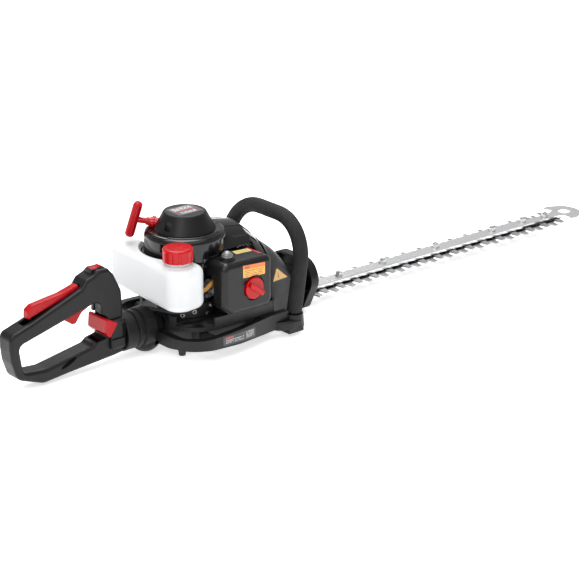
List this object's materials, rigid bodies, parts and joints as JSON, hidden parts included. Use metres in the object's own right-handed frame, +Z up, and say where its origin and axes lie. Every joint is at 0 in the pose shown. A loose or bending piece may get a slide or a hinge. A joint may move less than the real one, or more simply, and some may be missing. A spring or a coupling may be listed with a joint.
{
  "type": "hedge trimmer",
  "caption": "Petrol hedge trimmer with a double-sided reciprocating toothed blade, a loop front handle and a rear handle that swivels.",
  "frame": {"origin": "on the resting plane under the gear case's sole, straight below the engine's upright crank axis", "axes": "+X forward along the blade, +Y to the operator's left, +Z up"},
  "size_m": [1.1591, 0.2197, 0.2125],
  "materials": {
    "steel_rail": "bright brushed steel",
    "blade_steel": "grey ground steel teeth",
    "zinc_steel": "zinc plated steel",
    "gear_steel": "machined steel",
    "clutch_metal": "cast shoes",
    "cast_light_metal": "die cast aluminium alloy",
    "ignition_parts": "moulded ignition parts",
    "gloss_black_plastic": "glossy black moulding",
    "satin_black_plastic": "satin black moulding",
    "handle_plastic": "satin black handle moulding",
    "red_plastic": "glossy red moulding",
    "black_frame_paint": "black powder coat",
    "grip_rubber": "ribbed black rubber",
    "tank_plastic": "milky translucent polyethylene",
    "hose_rubber": "amber fuel hose",
    "primer_rubber": "smoky clear elastomer bulb",
    "filter_foam": "open cell foam",
    "rope_fibre": "braided rope",
    "muffler_steel": "heat darkened sheet steel",
    "muffler_guard_metal": "black heat-proof paint"
  },
  "bodies": {
    "machine": {"guide_rail": "steel_rail", "tip_plate": "zinc_steel", "blade_bolts": "zinc_steel", "gear_case_lower": "cast_light_metal", "gear_case_upper": "cast_light_metal", "clutch_housing": "cast_light_metal", "crankcase": "cast_light_metal", "shaft_bearings": "gear_steel", "engine_cylinder": "cast_light_metal", "spark_plug": "ignition_parts", "ignition_coil": "ignition_parts", "ignition_lead": "ignition_parts", "engine_shroud": "gloss_black_plastic", "starter_dome": "satin_black_plastic", "rope_guide": "red_plastic", "recoil_spring": "gear_steel", "starter_rope": "rope_fibre", "muffler": "muffler_steel", "muffler_guard": "muffler_guard_metal", "intake_insulator": "satin_black_plastic", "carburettor": "cast_light_metal", "filter_base": "satin_black_plastic", "air_filter": "filter_foam", "filter_cover": "satin_black_plastic", "fuel_tank": "tank_plastic", "fuel_hose": "hose_rubber", "throttle_cable": "grip_rubber", "engine_tray": "satin_black_plastic", "front_cover": "satin_black_plastic", "blade_guard": "satin_black_plastic", "main_frame": "black_frame_paint", "front_handle": "black_frame_paint", "front_grip": "grip_rubber", "handle_bolts": "zinc_steel", "rubber_buffers": "grip_rubber", "swivel_socket": "satin_black_plastic"},
    "upper_blade": {"upper_blade": "blade_steel"},
    "lower_blade": {"lower_blade": "blade_steel"},
    "drive_gear": {"drive_gear": "gear_steel"},
    "clutch_drum": {"clutch_drum": "gear_steel"},
    "crank_group": {"crankshaft": "gear_steel", "clutch_shoes": "clutch_metal", "flywheel": "cast_light_metal"},
    "piston_group": {"piston": "cast_light_metal", "connecting_rod": "gear_steel"},
    "starter_reel": {"starter_reel": "satin_black_plastic"},
    "starter_handle": {"starter_handle": "red_plastic"},
    "filter_knob": {"filter_knob": "red_plastic"},
    "primer_bulb": {"primer_bulb": "primer_rubber"},
    "fuel_cap": {"fuel_cap": "red_plastic"},
    "rear_handle": {"swivel_collar": "satin_black_plastic", "rear_handle_right": "handle_plastic", "rear_handle_left": "handle_plastic", "pivot_pins": "zinc_steel", "switch_bezel": "gloss_black_plastic", "handle_screws": "zinc_steel"},
    "throttle_trigger": {"throttle_trigger": "red_plastic"},
    "lockout_lever": {"lockout_lever": "red_plastic"},
    "ignition_rocker": {"ignition_rocker": "red_plastic"},
    "release_latch": {"release_latch": "red_plastic"}
  },
  "joints": [
    {"name": "handle_swivel", "type": "hinge", "parent": "machine", "child": "rear_handle", "pos_m": [-0.12, 0, 0.042], "axis": [1, 0, 0], "range_deg": [-90, 90]},
    {"name": "latch_pull", "type": "slide", "parent": "rear_handle", "child": "release_latch", "axis": [-1, 0, 0], "range_m": [0, 0.005], "stiffness_N_per_m": 500, "springref_m": -0.003},
    {"name": "throttle_pull", "type": "hinge", "parent": "rear_handle", "child": "throttle_trigger", "pos_m": [-0.172, 0, 0.111], "axis": [0, 1, 0], "range_deg": [0, 9], "stiffness_Nm_per_rad": 0.35, "springref_deg": -20.05},
    {"name": "lockout_press", "type": "hinge", "parent": "rear_handle", "child": "lockout_lever", "pos_m": [-0.201, 0, 0.119], "axis": [0, -1, 0], "range_deg": [0, 5], "stiffness_Nm_per_rad": 0.5, "springref_deg": -20.05},
    {"name": "ignition_rock", "type": "hinge", "parent": "rear_handle", "child": "ignition_rocker", "pos_m": [-0.1635, 0, 0.146], "axis": [0, 1, 0], "range_deg": [0, 12]},
    {"name": "gear_turn", "type": "hinge", "parent": "machine", "child": "drive_gear", "pos_m": [0.0475, 0, 0], "axis": [0, 0, 1], "range_deg": [0, 180]},
    {"name": "upper_blade_slide", "type": "slide", "parent": "machine", "child": "upper_blade", "axis": [1, 0, 0], "range_m": [-0.0151, 0]},
    {"name": "lower_blade_slide", "type": "slide", "parent": "machine", "child": "lower_blade", "axis": [1, 0, 0], "range_m": [0, 0.0151]},
    {"name": "drum_turn", "type": "hinge", "parent": "machine", "child": "clutch_drum", "pos_m": [0, 0, 0], "axis": [0, 0, 1], "range_deg": [-798, 0]},
    {"name": "crank_turn", "type": "hinge", "parent": "machine", "child": "crank_group", "pos_m": [0, 0, 0], "axis": [0, 0, 1], "continuous": true},
    {"name": "piston_stroke", "type": "slide", "parent": "machine", "child": "piston_group", "axis": [1, 0, 0], "range_m": [-0.014, 0.014]},
    {"name": "starter_pull", "type": "slide", "parent": "machine", "child": "starter_handle", "axis": [-0.6403, 0.7631, 0.0872], "range_m": [0, 0.65], "stiffness_N_per_m": 4, "springref_m": -0.5, "deforming": ["starter_rope"]},
    {"name": "reel_turn", "type": "hinge", "parent": "machine", "child": "starter_reel", "pos_m": [0, 0, 0], "axis": [0, 0, 1], "range_deg": [0, 1129.6]},
    {"name": "filter_knob_turn", "type": "hinge", "parent": "machine", "child": "filter_knob", "pos_m": [0.048, -0.1, 0.099], "axis": [0, -1, 0], "range_deg": [-360, 0]},
    {"name": "primer_press", "type": "slide", "parent": "machine", "child": "primer_bulb", "axis": [0, 0, -1], "range_m": [0, 0.003], "stiffness_N_per_m": 300, "springref_m": -0.002},
    {"name": "fuel_cap_turn", "type": "hinge", "parent": "machine", "child": "fuel_cap", "pos_m": [-0.0595, -0.0605, 0.16], "axis": [0, 0, 1], "range_deg": [0, 540]}
  ],
  "couplings": [
    {"joint": "upper_blade_slide", "follows": "gear_turn", "m_per_rad": -0.0047747},
    {"joint": "lower_blade_slide", "follows": "gear_turn", "m_per_rad": 0.0047747},
    {"joint": "drum_turn", "follows": "gear_turn", "ratio": -4.4286},
    {"joint": "reel_turn", "follows": "starter_pull", "rad_per_m": 30.303}
  ]
}
